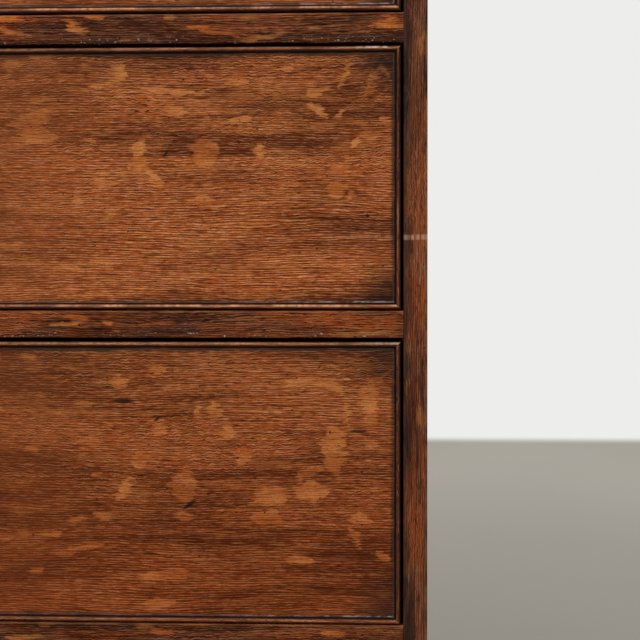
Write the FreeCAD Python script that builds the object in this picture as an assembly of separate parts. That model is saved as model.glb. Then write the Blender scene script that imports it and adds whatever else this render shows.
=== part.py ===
import FreeCAD
import Part

import math
import os

# Oak chest of four long graduated drawers, with beaded drawer fronts, swan-neck handles and bracket feet.
# Millimetres. +X runs to the right as seen from the front, -Y is the front and +Z is up.
# The origin is on the floor, in the middle of the chest's box.

Vector = FreeCAD.Vector

# Carcase
CARCASE_WIDTH = 1120.0
CARCASE_DEPTH = 490.0
SIDE_THICKNESS = 18.0
EDGE_ROUND = 1.0
TOP_THICKNESS = 22.0
TOP_OVERHANG = 18.0
TOP_STEP = 3.0
TOP_THUMB_RADIUS = 12.0

# Rails and the openings between them
DRAWER_COUNT = 4
TOP_OPENING = 187.0
OPENING_STEP = 14.0
TOP_RAIL_HEIGHT = 20.5
UPPER_RAIL_HEIGHT = 22.5
RAIL_HEIGHT = 20.5
BOTTOM_RAIL_HEIGHT = 40.0
RAIL_DEPTH = 60.0
TENON_LENGTH = 10.0
TENON_SHOULDER = 5.0
TENON_SETBACK = 8.0
BACK_RAIL_DEPTH = 40.0

# Runners, kickers and stops
RUNNER_WIDTH = 30.0
RUNNER_HEIGHT = 15.0
RUNNER_HOUSING = 5.0
RUNNER_TONGUE = 8.0
RUNNER_TONGUE_HEIGHT = 6.0
STOP_WIDTH = 45.0
STOP_DEPTH = 20.0
STOP_HEIGHT = 6.0
STOP_INSET = 190.0
STOP_CLEARANCE = 0.3

# Bottom, back and their nails
BOTTOM_BOARD_THICKNESS = 14.0
BOTTOM_BOARD_HOUSING = 6.0
BACK_THICKNESS = 10.0
BACK_REBATE = 9.0
BACK_BOARD_COUNT = 6
BACK_BOARD_LAP = 9.0
BACK_BOARD_GAP = 0.6
NAIL_HEAD_RADIUS = 2.6
NAIL_HEAD_THICKNESS = 1.2
NAIL_RADIUS = 1.1
NAIL_LENGTH = 26.0
NAIL_PLACES = (0.25, 0.75)

# Screws and glue blocks under the top
SCREW_COUNT = 3
SCREW_HEAD_RADIUS = 4.2
SCREW_HEAD_DEPTH = 2.4
SCREW_RADIUS = 2.0
SCREW_BITE = 13.0
GLUE_BLOCK_COUNT = 3
GLUE_BLOCK_LENGTH = 70.0
GLUE_BLOCK_SIZE = 16.0

# Base moulding and feet
FOOT_HEIGHT = 105.0
BASE_PROJECTION = 14.0
BASE_STEP = 9.0
BASE_QUIRK = 2.0
FOOT_INSET = 2.0
FOOT_THICKNESS = 20.0
FOOT_WIDTH = 62.0
FOOT_STRAIGHT = 18.0
FOOT_LIP = 10.0
FOOT_ARCH_SHARE = 0.58
FOOT_BLOCK = 42.0
REAR_FOOT_WIDTH = 110.0
REAR_FOOT_TOE = 48.0

# Drawers
SIDE_GAP = 1.9
TOP_GAP = 2.8
BOTTOM_GAP = 1.0
RUN_CLEARANCE = 0.3
DRAWER_BACK_GAP = 16.0
FRONT_THICKNESS = 22.0
BEAD = 4.0
BEAD_PROUD = 2.6
BEAD_REBATE = 6.0
DRAWER_SIDE = 11.0
DRAWER_BACK = 10.0
SIDE_DROP = 4.0
DRAWER_BOTTOM = 7.0
BOTTOM_GROOVE_RISE = 9.0
BOTTOM_GROOVE_DEPTH = 5.0
BOTTOM_OVERRUN = 2.0
DOVETAIL_LAP = 8.0
DOVETAIL_PIN = 12.0
DOVETAIL_PITCH = 48.0
DOVETAIL_SLOPE = 1.0 / 6.0

# Handles
HANDLE_SPACING = 360.0
HANDLE_RAISE = 12.0
POST_SPACING = 76.0
POST_REACH = 16.0
POST_RADIUS = 3.0
POST_CLEARANCE = 0.2
POST_COLLAR_RADIUS = 4.6
POST_COLLAR_LENGTH = 1.4
POST_NECK_RADIUS = 3.4
POST_TAIL = 3.0
BALL_RADIUS = 6.2
ROSE_RADIUS = 13.0
ROSE_RIM = 1.5
ROSE_RIM_WIDTH = 1.5
ROSE_HEIGHT = 4.2
ROSE_BOSS_RADIUS = 6.0
ROSE_BULGE = 0.7
NUT_SIZE = 13.0
NUT_THICKNESS = 5.0
PIN_RADIUS = 2.0
PIN_CLEARANCE = 0.08
PIN_INSIDE = 4.5
PIN_SHOULDER = 1.0
BAIL_RADIUS = 2.6
GRIP_RADIUS = 3.9
NECK_TOP_RADIUS = 4.6
NECK_TOP_TURN = 130.0
NECK_WAIST_RADIUS = 11.0
NECK_WAIST_TURN = 55.0
NECK_FOOT_RADIUS = 15.0

# Places worked out from the sizes above
HALF_WIDTH = CARCASE_WIDTH / 2
INNER_HALF = HALF_WIDTH - SIDE_THICKNESS
FRONT_REACH = max(TOP_OVERHANG, BASE_PROJECTION, POST_REACH + BALL_RADIUS)
FRONT_Y = (FRONT_REACH - CARCASE_DEPTH) / 2
BACK_Y = FRONT_Y + CARCASE_DEPTH
BACK_INNER_Y = BACK_Y - BACK_THICKNESS
RAIL_BACK_Y = FRONT_Y + RAIL_DEPTH
DRAWER_HALF = INNER_HALF - SIDE_GAP
DRAWER_BACK_Y = BACK_INNER_Y - DRAWER_BACK_GAP
PIVOT_Y = FRONT_Y - POST_REACH
FOOT_OUT = BASE_PROJECTION - FOOT_INSET
DRAWERS = range(1, DRAWER_COUNT + 1)
TOUCH = 1e-6


def stack_levels():
    """Heights (low, high) of each drawer's opening and of the rail under it; rail 0 is the top rail."""
    rails = {DRAWER_COUNT: (FOOT_HEIGHT, FOOT_HEIGHT + BOTTOM_RAIL_HEIGHT)}
    openings = {}
    level = FOOT_HEIGHT + BOTTOM_RAIL_HEIGHT
    heights = {0: TOP_RAIL_HEIGHT, 1: UPPER_RAIL_HEIGHT}
    for number in reversed(DRAWERS):
        top = level + TOP_OPENING + (number - 1) * OPENING_STEP
        openings[number] = (level, top)
        level = top + heights.get(number - 1, RAIL_HEIGHT)
        rails[number - 1] = (top, level)
    return openings, rails


OPENINGS, RAILS = stack_levels()
CARCASE_TOP = RAILS[0][1]
BOTTOM_BOARD_TOP = RAILS[DRAWER_COUNT][1] - RUNNER_HEIGHT


def block(x, y, z):
    """A box between three (low, high) spans."""
    return Part.makeBox(x[1] - x[0], y[1] - y[0], z[1] - z[0], Vector(x[0], y[0], z[0]))


def prism(points, along):
    """A flat outline of straight runs, pushed along a vector."""
    return Part.Face(Part.makePolygon(points + points[:1])).extrude(along)


def outline(edges, along):
    """A flat outline of lines and arcs, pushed along a vector."""
    return Part.Face(Part.Wire(edges)).extrude(along)


def line(start, end):
    return Part.LineSegment(start, end).toShape()


def arc(start, middle, end):
    return Part.Arc(start, middle, end).toShape()


def mirrored(shape):
    """The same piece on the chest's other half."""
    return shape.mirror(Vector(0, 0, 0), Vector(1, 0, 0))


def pair(shape):
    return [mirrored(shape), shape]


def rounded_front(solid, along):
    """Eases the edges of a board's front face that run along one axis."""
    edges = []
    for edge in solid.Edges:
        ends = [vertex.Point for vertex in edge.Vertexes]
        on_front = all(abs(end.y - FRONT_Y) < TOUCH for end in ends)
        if on_front and abs((ends[1] - ends[0]).dot(along)) > TOUCH:
            edges.append(edge)
    return solid.makeFillet(EDGE_ROUND, edges)


def cut_all(shape, tools):
    return shape.cut(Part.makeCompound(tools)).removeSplitter()


def fuse_all(shapes):
    return shapes[0].multiFuse(shapes[1:]).removeSplitter()


def with_tenons(board, y, z):
    """Adds a stub tenon at each end of a rail, stopped short of its front, back, top and bottom."""
    reach = INNER_HALF + TENON_LENGTH
    tenon_y = (y[0] + TENON_SETBACK, y[1] - TENON_SETBACK)
    tenon_z = (z[0] + TENON_SHOULDER, z[1] - TENON_SHOULDER)
    return fuse_all([board, block((-reach, reach), tenon_y, tenon_z)])


def make_rail(z):
    """A rail across the front, between the sides."""
    y = (FRONT_Y, RAIL_BACK_Y)
    board = rounded_front(block((-INNER_HALF, INNER_HALF), y, z), Vector(1, 0, 0))
    return with_tenons(board, y, z)


def make_runner(number):
    """The right runner behind a rail, flush with its top, housed in the side and tongued at its front."""
    top = RAILS[number][1]
    x = (INNER_HALF - RUNNER_WIDTH, INNER_HALF + RUNNER_HOUSING)
    stick = block(x, (RAIL_BACK_Y, BACK_INNER_Y), (top - RUNNER_HEIGHT, top))
    middle = top - RUNNER_HEIGHT / 2
    tongue_z = (middle - RUNNER_TONGUE_HEIGHT / 2, middle + RUNNER_TONGUE_HEIGHT / 2)
    tongue_x = (INNER_HALF - RUNNER_WIDTH, INNER_HALF)
    tongue = block(tongue_x, (RAIL_BACK_Y - RUNNER_TONGUE, RAIL_BACK_Y), tongue_z)
    return fuse_all([stick, tongue])


def make_kicker():
    """The right-hand stick under the top, between the top rail and the top back rail."""
    x = (INNER_HALF - RUNNER_WIDTH, INNER_HALF)
    y = (RAIL_BACK_Y, BACK_INNER_Y - BACK_RAIL_DEPTH)
    return block(x, y, (CARCASE_TOP - RUNNER_HEIGHT, CARCASE_TOP))


def make_back_rail():
    """The rail behind the top rail, which the top and the back boards are fixed to."""
    y = (BACK_INNER_Y - BACK_RAIL_DEPTH, BACK_INNER_Y)
    z = RAILS[0]
    return with_tenons(block((-INNER_HALF, INNER_HALF), y, z), y, z)


def make_bottom_board():
    """The board under the lowest drawer, tongued into the bottom rail and housed in the sides."""
    z = (BOTTOM_BOARD_TOP - BOTTOM_BOARD_THICKNESS, BOTTOM_BOARD_TOP)
    reach = INNER_HALF + BOTTOM_BOARD_HOUSING
    tongue = block((-INNER_HALF, INNER_HALF), (RAIL_BACK_Y - RUNNER_TONGUE, RAIL_BACK_Y), z)
    board = block((-reach, reach), (RAIL_BACK_Y, BACK_INNER_Y), z)
    return fuse_all([tongue, board])


def back_board_edges():
    reach = INNER_HALF + BACK_REBATE
    step = 2 * reach / BACK_BOARD_COUNT
    return [-reach + index * step for index in range(BACK_BOARD_COUNT + 1)]


def make_back_boards():
    """Upright boards in the rebates of the sides, each lapped over the next."""
    edges = back_board_edges()
    middle_y = BACK_Y - BACK_THICKNESS / 2
    z = (FOOT_HEIGHT, CARCASE_TOP)
    half_gap = BACK_BOARD_GAP / 2
    boards = []
    for index in range(BACK_BOARD_COUNT):
        first = index == 0
        last = index == BACK_BOARD_COUNT - 1
        left = edges[index]
        right = edges[index + 1]
        outer_x = (left if first else left + half_gap, right if last else right - half_gap)
        inner_left = left if first else left + BACK_BOARD_LAP + half_gap
        inner_right = right if last else right + BACK_BOARD_LAP - half_gap
        outer = block(outer_x, (middle_y, BACK_Y), z)
        inner = block((inner_left, inner_right), (BACK_INNER_Y, middle_y), z)
        boards.append(fuse_all([outer, inner]))
    return boards


def make_back_nails():
    """Two nails at the head and two at the foot of each back board, driven flush."""
    edges = back_board_edges()
    step = edges[1] - edges[0]
    levels = [sum(RAILS[0]) / 2, BOTTOM_BOARD_TOP - BOTTOM_BOARD_THICKNESS / 2]
    forward = Vector(0, -1, 0)
    nails = []
    for left in edges[:-1]:
        for share in NAIL_PLACES:
            for level in levels:
                place = Vector(left + share * step, BACK_Y, level)
                head = Part.makeCylinder(NAIL_HEAD_RADIUS, NAIL_HEAD_THICKNESS, place, forward)
                shank = Part.makeCylinder(NAIL_RADIUS, NAIL_LENGTH, place, forward)
                nails.append(fuse_all([head, shank]))
    return nails


def make_top_screws():
    """Countersunk screws up through the kickers into the top."""
    x = INNER_HALF - RUNNER_WIDTH / 2
    low = CARCASE_TOP - RUNNER_HEIGHT
    start = RAIL_BACK_Y
    length = BACK_INNER_Y - BACK_RAIL_DEPTH - start
    screws = []
    for index in range(SCREW_COUNT):
        place = Vector(x, start + length * (index + 0.5) / SCREW_COUNT, low)
        head = Part.makeCone(SCREW_HEAD_RADIUS, SCREW_RADIUS, SCREW_HEAD_DEPTH, place)
        shank = Part.makeCylinder(SCREW_RADIUS, RUNNER_HEIGHT + SCREW_BITE, place)
        screws += pair(fuse_all([head, shank]))
    return screws


def make_glue_blocks():
    """Blocks under the top behind the top rail, and one upright block behind each foot's corner."""
    blocks = []
    step = 2 * INNER_HALF / GLUE_BLOCK_COUNT
    y = (RAIL_BACK_Y, RAIL_BACK_Y + GLUE_BLOCK_SIZE)
    z = (CARCASE_TOP - GLUE_BLOCK_SIZE, CARCASE_TOP)
    for index in range(GLUE_BLOCK_COUNT):
        middle = -INNER_HALF + (index + 0.5) * step
        blocks.append(block((middle - GLUE_BLOCK_LENGTH / 2, middle + GLUE_BLOCK_LENGTH / 2), y, z))
    inner_x = HALF_WIDTH + FOOT_OUT - FOOT_THICKNESS
    front_y = FRONT_Y - FOOT_OUT + FOOT_THICKNESS
    rear_y = BACK_Y - FOOT_THICKNESS
    x = (inner_x - FOOT_BLOCK, inner_x)
    for y in ((front_y, front_y + FOOT_BLOCK), (rear_y - FOOT_BLOCK, rear_y)):
        blocks += pair(block(x, y, (0, FOOT_HEIGHT)))
    return blocks


def make_drawer_stops(number):
    """Two small blocks on a rail, which the back of the closed drawer's front meets."""
    top = RAILS[number][1]
    middle = INNER_HALF - STOP_INSET
    start = FRONT_Y + FRONT_THICKNESS + STOP_CLEARANCE
    x = (middle - STOP_WIDTH / 2, middle + STOP_WIDTH / 2)
    return pair(block(x, (start, start + STOP_DEPTH), (top, top + STOP_HEIGHT)))


def make_side(housed):
    """The right side board, with its mortises, housings and rear rebate."""
    board = block((INNER_HALF, HALF_WIDTH), (FRONT_Y, BACK_Y), (FOOT_HEIGHT, CARCASE_TOP))
    board = rounded_front(board, Vector(0, 0, 1))
    rebate = block((INNER_HALF, INNER_HALF + BACK_REBATE), (BACK_INNER_Y, BACK_Y), (FOOT_HEIGHT, CARCASE_TOP))
    return cut_all(board, housed + [rebate])


def top_edge_cutter(place, along):
    """What the moulding plane takes off one edge of the top: a step, then a quarter round.

    place(inward, down) gives a point, measured from the edge and from the upper face.
    """
    radius = TOP_THUMB_RADIUS
    step = TOP_STEP
    slant = radius * (1 - math.sqrt(0.5))
    margin = 1.0
    points = [
        place(-margin, -margin),
        place(radius, -margin),
        place(radius, step),
        place(slant, step + slant),
        place(0, step + radius),
        place(-margin, step + radius),
    ]
    edges = [
        line(points[0], points[1]),
        line(points[1], points[2]),
        arc(points[2], points[3], points[4]),
        line(points[4], points[5]),
        line(points[5], points[0]),
    ]
    return outline(edges, along)


def make_top():
    """The top board, moulded along its front and ends."""
    half = HALF_WIDTH + TOP_OVERHANG
    front = FRONT_Y - TOP_OVERHANG
    high = CARCASE_TOP + TOP_THICKNESS
    board = block((-half, half), (front, BACK_Y), (CARCASE_TOP, high))
    width = Vector(2 * half, 0, 0)
    depth = Vector(0, BACK_Y - front, 0)
    front_cut = top_edge_cutter(lambda inward, down: Vector(-half, front + inward, high - down), width)
    right_cut = top_edge_cutter(lambda inward, down: Vector(half - inward, front, high - down), depth)
    return cut_all(board, [front_cut] + pair(right_cut))


def base_profile(place, along):
    """The base moulding's section: a plain step with an ovolo above it.

    place(out, up) gives a point, measured from the carcase's face and from its lower edge.
    """
    radius = BASE_PROJECTION - BASE_QUIRK
    slant = radius * math.sqrt(0.5)
    points = [
        place(0, 0),
        place(BASE_PROJECTION, 0),
        place(BASE_PROJECTION, BASE_STEP),
        place(radius, BASE_STEP),
        place(slant, BASE_STEP + slant),
        place(0, BASE_STEP + radius),
    ]
    edges = [
        line(points[0], points[1]),
        line(points[1], points[2]),
        line(points[2], points[3]),
        arc(points[3], points[4], points[5]),
        line(points[5], points[0]),
    ]
    return outline(edges, along)


def corner_half(reach, keep_front):
    """Half of the square plan of the front right corner outside the carcase, split along the mitre."""
    inner = Vector(HALF_WIDTH + BASE_PROJECTION - reach, FRONT_Y - BASE_PROJECTION + reach, 0)
    outer = Vector(HALF_WIDTH + BASE_PROJECTION, FRONT_Y - BASE_PROJECTION, 0)
    third = Vector(inner.x, outer.y, 0) if keep_front else Vector(outer.x, inner.y, 0)
    return prism([inner, outer, third], Vector(0, 0, CARCASE_TOP))


def make_base_mouldings():
    """Front and right mouldings, mitred at the corner."""
    far = HALF_WIDTH + BASE_PROJECTION
    front = base_profile(lambda out, up: Vector(-far, FRONT_Y - out, FOOT_HEIGHT + up), Vector(2 * far, 0, 0))
    side_start = FRONT_Y - BASE_PROJECTION
    side = base_profile(
        lambda out, up: Vector(HALF_WIDTH + out, side_start, FOOT_HEIGHT + up),
        Vector(0, BACK_Y - side_start, 0),
    )
    front = cut_all(front, pair(corner_half(BASE_PROJECTION, False)))
    side = cut_all(side, [corner_half(BASE_PROJECTION, True)])
    return front, side


def bracket_outline(place, along):
    """A bracket foot's facing: a straight toe, then an S-curve up to its wing.

    place(across, up) gives a point, measured from the chest's corner and the floor.
    """
    rise = FOOT_HEIGHT - FOOT_STRAIGHT - FOOT_LIP
    arch = FOOT_ARCH_SHARE * rise
    wing = rise - arch
    knee = FOOT_STRAIGHT + arch
    turn = math.sqrt(0.5)
    end = FOOT_WIDTH + arch + wing
    edges = [
        line(place(0, 0), place(FOOT_WIDTH, 0)),
        line(place(FOOT_WIDTH, 0), place(FOOT_WIDTH, FOOT_STRAIGHT)),
        arc(
            place(FOOT_WIDTH, FOOT_STRAIGHT),
            place(FOOT_WIDTH + arch * (1 - turn), FOOT_STRAIGHT + arch * turn),
            place(FOOT_WIDTH + arch, knee),
        ),
        arc(
            place(FOOT_WIDTH + arch, knee),
            place(FOOT_WIDTH + arch + wing * turn, knee + wing * (1 - turn)),
            place(end, knee + wing),
        ),
        line(place(end, knee + wing), place(end, FOOT_HEIGHT)),
        line(place(end, FOOT_HEIGHT), place(0, FOOT_HEIGHT)),
        line(place(0, FOOT_HEIGHT), place(0, 0)),
    ]
    return outline(edges, along)


def make_feet():
    """The right front foot's two mitred facings, and the right rear foot's facing and plain rear piece."""
    outer = HALF_WIDTH + FOOT_OUT
    front = FRONT_Y - FOOT_OUT
    facing = Vector(0, FOOT_THICKNESS, 0)
    inward = Vector(-FOOT_THICKNESS, 0, 0)
    front_facing = bracket_outline(lambda across, up: Vector(outer - across, front, up), facing)
    side_facing = bracket_outline(lambda across, up: Vector(outer, front + across, up), inward)
    mitre = FOOT_INSET + FOOT_THICKNESS
    front_facing = cut_all(front_facing, [corner_half(mitre, False)])
    side_facing = cut_all(side_facing, [corner_half(mitre, True)])
    rear_facing = bracket_outline(lambda across, up: Vector(outer, BACK_Y - across, up), inward)
    inner = outer - FOOT_THICKNESS
    rear_y = BACK_Y - FOOT_THICKNESS
    rear_piece = prism(
        [
            Vector(inner, rear_y, 0),
            Vector(inner - REAR_FOOT_TOE, rear_y, 0),
            Vector(inner - REAR_FOOT_WIDTH, rear_y, FOOT_HEIGHT),
            Vector(inner, rear_y, FOOT_HEIGHT),
        ],
        facing,
    )
    return [front_facing, side_facing], [rear_facing, rear_piece]


def dovetail_ends(root, tip, low, high):
    """Points up one end of a drawer side, with tails that widen from root to tip."""
    count = max(2, round((high - low) / DOVETAIL_PITCH))
    pitch = (high - low) / count
    flare = abs(tip - root) * DOVETAIL_SLOPE
    points = [(root, low)]
    for index in range(count):
        bottom = low + index * pitch + DOVETAIL_PIN / 2
        top = low + (index + 1) * pitch - DOVETAIL_PIN / 2
        points += [(root, bottom), (tip, bottom - flare), (tip, top + flare), (root, top)]
    return points + [(root, high)]


class DrawerSizes:
    """Levels and depths that the boards of one drawer share."""

    def __init__(self, number):
        low, high = OPENINGS[number]
        self.front = (low + BOTTOM_GAP, high - TOP_GAP)
        self.side = (low + RUN_CLEARANCE, high - TOP_GAP - BEAD - SIDE_DROP)
        groove = self.side[0] + BOTTOM_GROOVE_RISE
        self.bottom = (groove, groove + DRAWER_BOTTOM)
        self.handle_level = sum(self.front) / 2 + HANDLE_RAISE


def make_drawer_side(sizes):
    """The right drawer side: lapped tails into the front, through tails into the back."""
    low, high = sizes.side
    front_root = FRONT_Y + FRONT_THICKNESS
    front_tip = FRONT_Y + DOVETAIL_LAP
    back_root = DRAWER_BACK_Y - DRAWER_BACK
    front_end = dovetail_ends(front_root, front_tip, low, high)
    back_end = dovetail_ends(back_root, DRAWER_BACK_Y, sizes.bottom[1], high)
    corner = [(DRAWER_BACK_Y, sizes.bottom[1]), (DRAWER_BACK_Y, low)]
    points = front_end + back_end[::-1] + corner
    inner = DRAWER_HALF - DRAWER_SIDE
    return prism([Vector(inner, y, z) for y, z in points], Vector(DRAWER_SIDE, 0, 0))


def make_drawer_bottom(sizes):
    reach = DRAWER_HALF - DRAWER_SIDE + BOTTOM_GROOVE_DEPTH
    inner = DRAWER_HALF - DRAWER_SIDE
    front_back = FRONT_Y + FRONT_THICKNESS
    board = block((-reach, reach), (front_back, DRAWER_BACK_Y + BOTTOM_OVERRUN), sizes.bottom)
    tongue = block((-inner, inner), (front_back - BOTTOM_GROOVE_DEPTH, front_back), sizes.bottom)
    return fuse_all([board, tongue])


def bead_strip(place, along):
    """One straight bead strip with a half-round nose; place(back, across) gives a point of its section."""
    radius = BEAD / 2
    nose = BEAD_PROUD - radius
    edges = [
        line(place(BEAD_REBATE, 0), place(-nose, 0)),
        arc(place(-nose, 0), place(-BEAD_PROUD, radius), place(-nose, BEAD)),
        line(place(-nose, BEAD), place(BEAD_REBATE, BEAD)),
        line(place(BEAD_REBATE, BEAD), place(BEAD_REBATE, 0)),
    ]
    return outline(edges, along)


def mitred(strip, corners):
    """Keeps the part of a strip inside a four-cornered outline seen from the front."""
    start = FRONT_Y - BEAD_PROUD
    points = [Vector(x, start, z) for x, z in corners]
    return strip.common(prism(points, Vector(0, BEAD_PROUD + BEAD_REBATE, 0)))


def make_beads(sizes):
    """Four mitred strips round a drawer front; the top strip covers the front's whole thickness."""
    low, high = sizes.front
    half = DRAWER_HALF
    inner = half - BEAD
    across = Vector(2 * half, 0, 0)
    up = Vector(0, 0, high - low)
    top = bead_strip(lambda back, w: Vector(-half, FRONT_Y + back, high - w), across)
    top = mitred(top, [(-half, high), (half, high), (inner, high - BEAD), (-inner, high - BEAD)])
    cover = block((-half, half), (FRONT_Y + BEAD_REBATE, FRONT_Y + FRONT_THICKNESS), (high - BEAD, high))
    bottom = bead_strip(lambda back, w: Vector(-half, FRONT_Y + back, low + w), across)
    bottom = mitred(bottom, [(-half, low), (half, low), (inner, low + BEAD), (-inner, low + BEAD)])
    right = bead_strip(lambda back, w: Vector(half - w, FRONT_Y + back, low), up)
    right = mitred(right, [(half, low), (half, high), (inner, high - BEAD), (inner, low + BEAD)])
    return [fuse_all([top, cover]), bottom] + pair(right)


def post_places(sizes):
    """Where the four handle posts of a drawer go, in X and Z."""
    places = []
    for centre in (-HANDLE_SPACING / 2, HANDLE_SPACING / 2):
        for side in (-1, 1):
            places.append((centre + side * POST_SPACING / 2, sizes.handle_level))
    return places


def make_drawer_front(sizes, joined):
    """The front board, rebated for its beads, socketed for the sides and grooved for the bottom."""
    low, high = sizes.front
    board = block((-DRAWER_HALF, DRAWER_HALF), (FRONT_Y, FRONT_Y + FRONT_THICKNESS), (low, high - BEAD))
    radius = POST_RADIUS + POST_CLEARANCE
    holes = []
    for x, z in post_places(sizes):
        holes.append(Part.makeCylinder(radius, FRONT_THICKNESS, Vector(x, FRONT_Y, z), Vector(0, 1, 0)))
    return cut_all(board, joined + holes)


def make_drawer_back(sizes, sides):
    y = (DRAWER_BACK_Y - DRAWER_BACK, DRAWER_BACK_Y)
    board = block((-DRAWER_HALF, DRAWER_HALF), y, (sizes.bottom[1], sizes.side[1]))
    return cut_all(board, sides)


def turned(edges, x, z):
    """A lathe-turned piece about a line from front to back."""
    face = Part.Face(Part.Wire(edges))
    return face.revolve(Vector(x, 0, z), Vector(0, 1, 0), 360)


def make_rose(x, z):
    """A round plate with a rim and a low dome, seated on the drawer's face."""
    hole = POST_RADIUS + POST_CLEARANCE

    def place(radius, out):
        return Vector(x + radius, FRONT_Y - out, z)

    dome = ROSE_RADIUS - ROSE_RIM_WIDTH
    middle = place((dome + ROSE_BOSS_RADIUS) / 2, (ROSE_RIM + ROSE_HEIGHT) / 2 + ROSE_BULGE)
    edges = [
        line(place(hole, 0), place(ROSE_RADIUS, 0)),
        line(place(ROSE_RADIUS, 0), place(ROSE_RADIUS, ROSE_RIM)),
        line(place(ROSE_RADIUS, ROSE_RIM), place(dome, ROSE_RIM)),
        arc(place(dome, ROSE_RIM), middle, place(ROSE_BOSS_RADIUS, ROSE_HEIGHT)),
        line(place(ROSE_BOSS_RADIUS, ROSE_HEIGHT), place(hole, ROSE_HEIGHT)),
        line(place(hole, ROSE_HEIGHT), place(hole, 0)),
    ]
    return turned(edges, x, z)


def make_post(x, z):
    """A bolt through the drawer front, with a collar on the rose and a drilled ball that holds the bail."""

    def place(radius, out):
        return Vector(x + radius, FRONT_Y - out, z)

    tail = -(FRONT_THICKNESS + NUT_THICKNESS + POST_TAIL)
    collar = ROSE_HEIGHT + POST_COLLAR_LENGTH
    ball = POST_REACH - math.sqrt(BALL_RADIUS**2 - POST_NECK_RADIUS**2)
    crown = POST_REACH + BALL_RADIUS
    edges = [
        line(place(0, tail), place(POST_RADIUS, tail)),
        line(place(POST_RADIUS, tail), place(POST_RADIUS, ROSE_HEIGHT)),
        line(place(POST_RADIUS, ROSE_HEIGHT), place(POST_COLLAR_RADIUS, ROSE_HEIGHT)),
        line(place(POST_COLLAR_RADIUS, ROSE_HEIGHT), place(POST_COLLAR_RADIUS, collar)),
        line(place(POST_COLLAR_RADIUS, collar), place(POST_NECK_RADIUS, collar)),
        line(place(POST_NECK_RADIUS, collar), place(POST_NECK_RADIUS, ball)),
        arc(place(POST_NECK_RADIUS, ball), place(BALL_RADIUS, POST_REACH), place(0, crown)),
        line(place(0, crown), place(0, tail)),
    ]
    drill_reach = BALL_RADIUS + PIN_SHOULDER
    drill = Part.makeCylinder(
        PIN_RADIUS + PIN_CLEARANCE,
        2 * drill_reach,
        Vector(x - drill_reach, PIVOT_Y, z),
        Vector(1, 0, 0),
    )
    return turned(edges, x, z).cut(drill)


def make_nut(x, z):
    """A square nut on the post's tail, against the back of the drawer front."""
    half = NUT_SIZE / 2
    start = FRONT_Y + FRONT_THICKNESS
    nut = block((x - half, x + half), (start, start + NUT_THICKNESS), (z - half, z + half))
    radius = POST_RADIUS + POST_CLEARANCE
    hole = Part.makeCylinder(radius, NUT_THICKNESS, Vector(x, start, z), Vector(0, 1, 0))
    return nut.cut(hole)


def make_handle_fittings(sizes):
    fittings = []
    for make_piece in (make_rose, make_post, make_nut):
        fittings += [make_piece(x, z) for x, z in post_places(sizes)]
    return fittings


def swan_neck(start):
    """Arcs of the right-hand neck, in the X-Z plane, from the pin outward, over, down and in to the grip."""
    foot_turn = 180 - NECK_TOP_TURN + NECK_WAIST_TURN
    turns = [
        (NECK_TOP_RADIUS, -NECK_TOP_TURN),
        (NECK_WAIST_RADIUS, NECK_WAIST_TURN),
        (NECK_FOOT_RADIUS, -foot_turn),
    ]
    x, z = start
    heading = 0.0
    edges = []
    for radius, turn in turns:
        side = math.copysign(1.0, turn)
        to_centre = math.radians(heading + 90 * side)
        centre = (x + radius * math.cos(to_centre), z + radius * math.sin(to_centre))
        points = []
        for share in (0, 0.5, 1):
            angle = to_centre + math.pi + math.radians(turn * share)
            points.append(
                Vector(centre[0] + radius * math.cos(angle), PIVOT_Y, centre[1] + radius * math.sin(angle))
            )
        edges.append(arc(*points))
        x, z = points[-1].x, points[-1].z
        heading += turn
    return edges, (x, z)


def make_bail(level):
    """A swan-neck bail about the middle plane: two pins, two necks and a swelling grip."""
    pin_start = POST_SPACING / 2 - PIN_INSIDE
    neck_start = POST_SPACING / 2 + BALL_RADIUS + PIN_SHOULDER
    path, (grip_end, grip_level) = swan_neck((neck_start, level))
    section = Part.makeCircle(BAIL_RADIUS, Vector(neck_start, PIVOT_Y, level), Vector(1, 0, 0))
    neck = Part.Wire(path).makePipeShell([Part.Wire([section])], True, False)
    pin = Part.makeCylinder(
        PIN_RADIUS, neck_start - pin_start, Vector(pin_start, PIVOT_Y, level), Vector(1, 0, 0)
    )

    def place(along, out):
        return Vector(along, PIVOT_Y, grip_level + out)

    swell = Part.BezierCurve()
    crest = 2 * GRIP_RADIUS - BAIL_RADIUS
    swell.setPoles([place(-grip_end, BAIL_RADIUS), place(0, crest), place(grip_end, BAIL_RADIUS)])
    edges = [
        line(place(-grip_end, 0), place(-grip_end, BAIL_RADIUS)),
        swell.toShape(),
        line(place(grip_end, BAIL_RADIUS), place(grip_end, 0)),
        line(place(grip_end, 0), place(-grip_end, 0)),
    ]
    grip = Part.Face(Part.Wire(edges)).revolve(place(0, 0), Vector(1, 0, 0), 360)
    return fuse_all([grip] + pair(neck) + pair(pin))


def make_drawer(number):
    """Every node of one drawer, by name."""
    sizes = DrawerSizes(number)
    sides = pair(make_drawer_side(sizes))
    bottom = make_drawer_bottom(sizes)
    beads = make_beads(sizes)
    name = f"drawer_{number}"
    nodes = {
        f"{name}_front": [make_drawer_front(sizes, beads + sides + [bottom])],
        f"{name}_beads": beads,
        f"{name}_left_side": [sides[0].cut(bottom)],
        f"{name}_right_side": [sides[1].cut(bottom)],
        f"{name}_back": [make_drawer_back(sizes, sides)],
        f"{name}_bottom": [bottom],
        f"{name}_handle_fittings": make_handle_fittings(sizes),
    }
    bail = make_bail(sizes.handle_level)
    for hand, offset in (("left", -HANDLE_SPACING / 2), ("right", HANDLE_SPACING / 2)):
        nodes[f"{name}_{hand}_bail"] = [bail.translated(Vector(offset, 0, 0))]
    return nodes


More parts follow.
